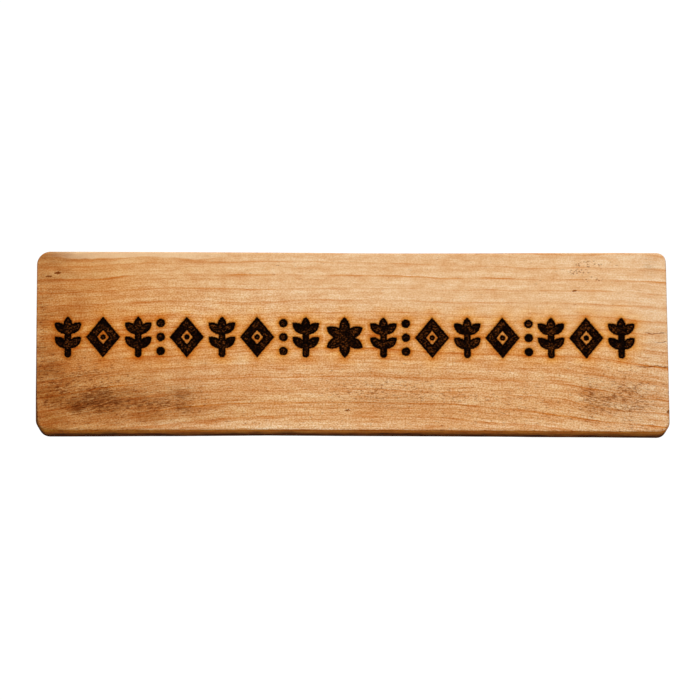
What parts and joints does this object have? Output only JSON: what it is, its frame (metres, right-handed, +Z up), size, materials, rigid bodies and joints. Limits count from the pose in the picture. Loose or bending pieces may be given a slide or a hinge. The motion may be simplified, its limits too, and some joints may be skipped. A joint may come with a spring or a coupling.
{
  "type": "wooden wall plaque",
  "caption": "Solid wood wall plaque with eased edges and a burnt-in folk ornament along its front, a sawtooth hanger on its back and felt pads at its lower corners.",
  "frame": {"origin": "the hang point: the top of the hanger's middle notch, in the plane of the wall", "axes": "+X along the board to the right as seen from the front, +Y from the front face towards the wall, +Z up"},
  "size_m": [0.3, 0.021, 0.0865],
  "materials": {
    "burnt_wood": "oiled softwood, honey brown, with charred strokes and scorched edges round them",
    "hanger_steel": "zinc-plated sheet steel, satin",
    "nail_steel": "plated nail heads, satin with hammer marks",
    "felt": "pressed wool felt, matt"
  },
  "bodies": {
    "root": {"board": "burnt_wood", "sawtooth_hanger": "hanger_steel", "hanger_nail_left": "nail_steel", "hanger_nail_right": "nail_steel", "felt_pad_left": "felt", "felt_pad_right": "felt"}
  },
  "joints": []
}
